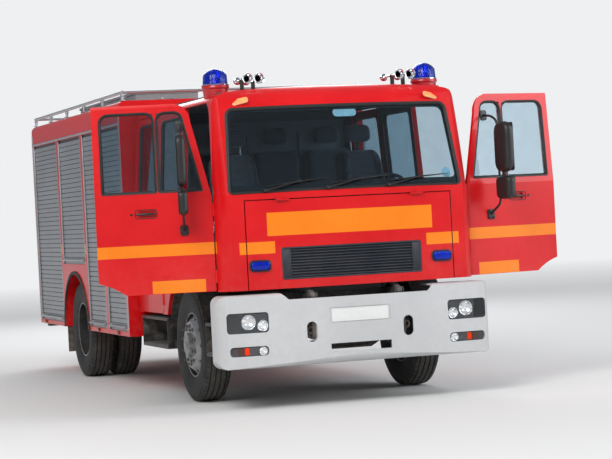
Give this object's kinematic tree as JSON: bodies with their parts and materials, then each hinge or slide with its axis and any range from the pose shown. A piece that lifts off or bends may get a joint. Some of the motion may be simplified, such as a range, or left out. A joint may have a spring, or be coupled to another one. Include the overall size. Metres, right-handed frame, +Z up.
{
  "type": "fire engine",
  "caption": "Red forward-control fire engine with a tilting crew cab, opening doors and front flap, steered front wheels, twin rear wheels and an equipment body with roller shutters.",
  "frame": {"origin": "on the ground under the middle of the vehicle's box", "axes": "+Z up, -Y towards the front, +X towards the vehicle's left side"},
  "size_m": [4.199, 7.7, 2.93],
  "materials": {
    "fire_red": "gloss",
    "bumper_grey": "satin",
    "chassis_black": "satin",
    "axle_iron": "satin",
    "spring_steel": "satin",
    "engine_iron": "matte",
    "exhaust_steel": "matte",
    "step_steel": "satin",
    "alloy": "satin",
    "wheel_silver": "satin",
    "horn_chrome": "polished",
    "tyre_rubber": "matte",
    "guard_plastic": "matte",
    "grille_plastic": "satin",
    "cab_plastic": "matte",
    "tank_plastic": "matte",
    "seat_cloth": "woven",
    "lamp_lens": "clear lens over a dark housing",
    "blue_lens": "blue lens on a dark base",
    "red_lens": "red and amber lens",
    "dark_glass": "tinted"
  },
  "bodies": {
    "chassis": {"chassis_frame": "chassis_black", "cross_members": "chassis_black", "front_bumper": "bumper_grey", "headlamps": "lamp_lens", "entry_steps": "chassis_black", "front_mudguards": "guard_plastic", "front_axle": "axle_iron", "leaf_springs": "spring_steel", "rear_axle": "axle_iron", "engine": "engine_iron", "propshaft": "axle_iron", "fuel_tank": "alloy", "exhaust": "exhaust_steel", "air_tanks": "chassis_black", "water_tank": "tank_plastic", "body_shell": "fire_red", "rear_splash_guards": "guard_plastic", "roller_shutters": "alloy", "roof_gallery": "alloy", "roof_ladder": "alloy", "roof_box": "alloy", "rear_ladder": "alloy", "tail_lamps": "red_lens", "rear_step": "step_steel"},
    "cab": {"cab_shell": "fire_red", "cab_roof": "fire_red", "cab_floor": "fire_red", "windscreen": "dark_glass", "cab_glass": "dark_glass", "dashboard": "cab_plastic", "front_seats": "seat_cloth", "crew_bench": "seat_cloth", "beacons": "blue_lens", "air_horns": "horn_chrome", "wipers": "guard_plastic"},
    "steering_wheel": {"steering_wheel": "cab_plastic"},
    "flap": {"front_flap": "fire_red", "grille": "grille_plastic"},
    "front_door_left": {"door_left": "fire_red", "door_glass_left": "dark_glass", "mirror_left": "guard_plastic"},
    "front_door_right": {"door_right": "fire_red", "door_glass_right": "dark_glass", "mirror_right": "guard_plastic"},
    "rear_door_left": {"crew_door_left": "fire_red", "crew_glass_left": "dark_glass"},
    "rear_door_right": {"crew_door_right": "fire_red", "crew_glass_right": "dark_glass"},
    "steer_knuckle_left": {"knuckle_left": "axle_iron"},
    "steer_knuckle_right": {"knuckle_right": "axle_iron"},
    "track_rod": {"tie_rod": "axle_iron"},
    "wheel_front_left": {"front_tyre_left": "tyre_rubber", "front_rim_left": "wheel_silver"},
    "wheel_front_right": {"front_tyre_right": "tyre_rubber", "front_rim_right": "wheel_silver"},
    "wheels_rear_left": {"rear_tyres_left": "tyre_rubber", "rear_rims_left": "wheel_silver"},
    "wheels_rear_right": {"rear_tyres_right": "tyre_rubber", "rear_rims_right": "wheel_silver"}
  },
  "joints": [
    {"name": "cab_tilt", "type": "hinge", "parent": "chassis", "child": "cab", "pos_m": [0, -3.75, 0.925], "axis": [1, 0, 0], "range_deg": [0, 45]},
    {"name": "steering_wheel_turn", "type": "hinge", "parent": "cab", "child": "steering_wheel", "pos_m": [0.48, -3.21, 1.8], "axis": [0, 0.5736, 0.8192], "range_deg": [-684, 684]},
    {"name": "front_flap_hinge", "type": "hinge", "parent": "cab", "child": "flap", "pos_m": [0, -3.745, 1.745], "axis": [-1, 0, 0], "range_deg": [0, 75]},
    {"name": "front_door_left_hinge", "type": "hinge", "parent": "cab", "child": "front_door_left", "pos_m": [1.15, -3.55, 1.8], "axis": [0, 0, -1], "range_deg": [-75, 5]},
    {"name": "front_door_right_hinge", "type": "hinge", "parent": "cab", "child": "front_door_right", "pos_m": [-1.15, -3.55, 1.8], "axis": [0, 0, 1], "range_deg": [-75, 5]},
    {"name": "rear_door_left_hinge", "type": "hinge", "parent": "cab", "child": "rear_door_left", "pos_m": [1.15, -1.715, 1.7], "axis": [0, 0, -1], "range_deg": [0, 80]},
    {"name": "rear_door_right_hinge", "type": "hinge", "parent": "cab", "child": "rear_door_right", "pos_m": [-1.15, -1.715, 1.7], "axis": [0, 0, 1], "range_deg": [0, 80]},
    {"name": "steer_left", "type": "hinge", "parent": "chassis", "child": "steer_knuckle_left", "pos_m": [0.85, -2.41, 0.505], "axis": [0, 0, 1], "range_deg": [-38, 38]},
    {"name": "steer_right", "type": "hinge", "parent": "chassis", "child": "steer_knuckle_right", "pos_m": [-0.85, -2.41, 0.505], "axis": [0, 0, 1], "range_deg": [-38, 38]},
    {"name": "track_rod_ball", "type": "hinge", "parent": "steer_knuckle_left", "child": "track_rod", "pos_m": [0.85, -2.215, 0.44], "axis": [0, 0, 1], "range_deg": [-38, 38]},
    {"name": "wheel_front_left_spin", "type": "hinge", "parent": "steer_knuckle_left", "child": "wheel_front_left", "pos_m": [0.98, -2.41, 0.505], "axis": [1, 0, 0], "continuous": true},
    {"name": "wheel_front_right_spin", "type": "hinge", "parent": "steer_knuckle_right", "child": "wheel_front_right", "pos_m": [-0.98, -2.41, 0.505], "axis": [1, 0, 0], "continuous": true},
    {"name": "wheels_rear_left_spin", "type": "hinge", "parent": "chassis", "child": "wheels_rear_left", "pos_m": [0.93, 1.69, 0.505], "axis": [1, 0, 0], "continuous": true},
    {"name": "wheels_rear_right_spin", "type": "hinge", "parent": "chassis", "child": "wheels_rear_right", "pos_m": [-0.93, 1.69, 0.505], "axis": [1, 0, 0], "continuous": true}
  ],
  "couplings": [
    {"joint": "steer_right", "follows": "steer_left", "ratio": 1},
    {"joint": "track_rod_ball", "follows": "steer_left", "ratio": -1},
    {"joint": "steering_wheel_turn", "follows": "steer_left", "ratio": 18}
  ]
}
